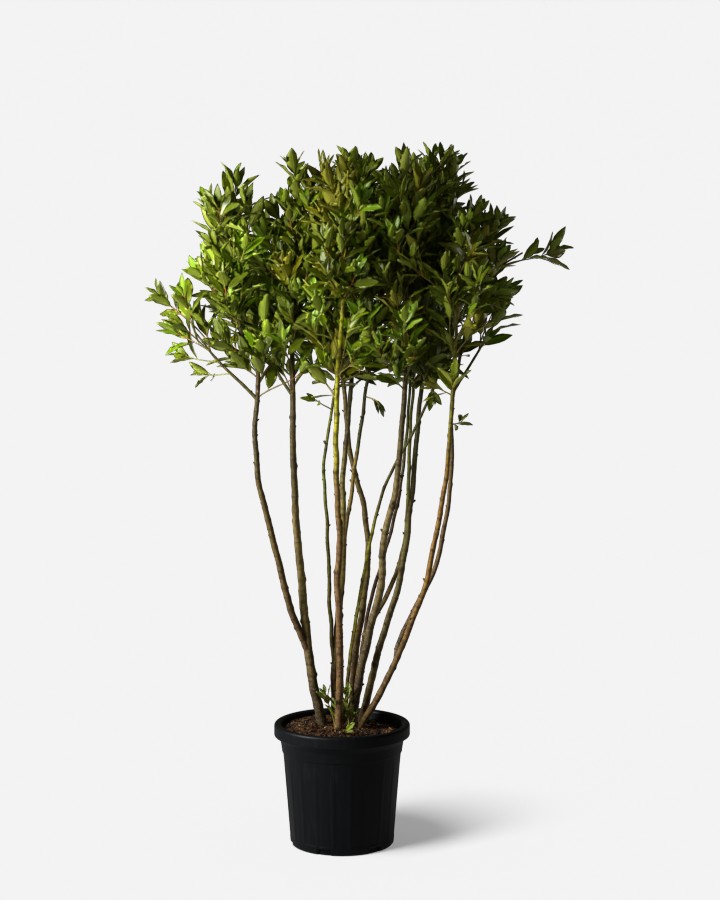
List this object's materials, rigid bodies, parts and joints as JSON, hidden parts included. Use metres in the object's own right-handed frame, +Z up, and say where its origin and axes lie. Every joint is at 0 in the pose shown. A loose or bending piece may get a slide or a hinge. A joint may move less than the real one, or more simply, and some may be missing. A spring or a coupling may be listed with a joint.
{
  "type": "potted multi-stem bay laurel",
  "caption": "Evergreen bay laurel shrub with bare upright stems, a loose leafy crown and a round plastic nursery pot of compost.",
  "frame": {"origin": "middle of the pot's flat underside", "axes": "+Z up; -Y towards the viewer of the plant's best side; X along the crown's widest spread"},
  "size_m": [1.2029, 0.6906, 2.0662],
  "materials": {
    "pot": "black moulded plastic, satin",
    "compost": "moist composted bark",
    "brown_bark": "smooth grey-brown bark with small pores",
    "green_bark": "smooth young green bark",
    "leaves": "leathery leaf, glossy above and dull beneath"
  },
  "bodies": {
    "root": {"pot": "pot", "compost": "compost", "stem_left_inner": "brown_bark", "stem_left_outer": "brown_bark", "stem_front": "brown_bark", "stem_middle": "brown_bark", "stem_middle_right": "green_bark", "stem_slender": "green_bark", "stem_back": "brown_bark", "stem_diagonal": "green_bark", "stem_right_inner": "brown_bark", "stem_right_slender": "green_bark", "stem_right_back": "brown_bark", "stem_right": "brown_bark", "stem_far_right_front": "brown_bark", "stem_far_right_back": "brown_bark", "bough_far_left": "green_bark", "bough_left": "green_bark", "bough_back_left": "green_bark", "bough_right_spray": "green_bark", "bough_right_low": "green_bark", "foliage_far_left": "leaves", "foliage_left_top": "leaves", "foliage_left_low": "leaves", "foliage_back_left": "leaves", "foliage_inner_left_top": "leaves", "foliage_inner_left_low": "leaves", "foliage_front_top": "leaves", "foliage_front_low": "leaves", "foliage_middle_top": "leaves", "foliage_middle_low": "leaves", "foliage_back_top": "leaves", "foliage_back_low": "leaves", "foliage_right_front_top": "leaves", "foliage_right_front_low": "leaves", "foliage_back_right_top": "leaves", "foliage_back_right_low": "leaves", "foliage_right_top": "leaves", "foliage_right_low": "leaves", "foliage_outer_right_top": "leaves", "foliage_outer_right_front": "leaves", "foliage_outer_right_low": "leaves", "foliage_right_spray": "leaves"}
  },
  "joints": []
}
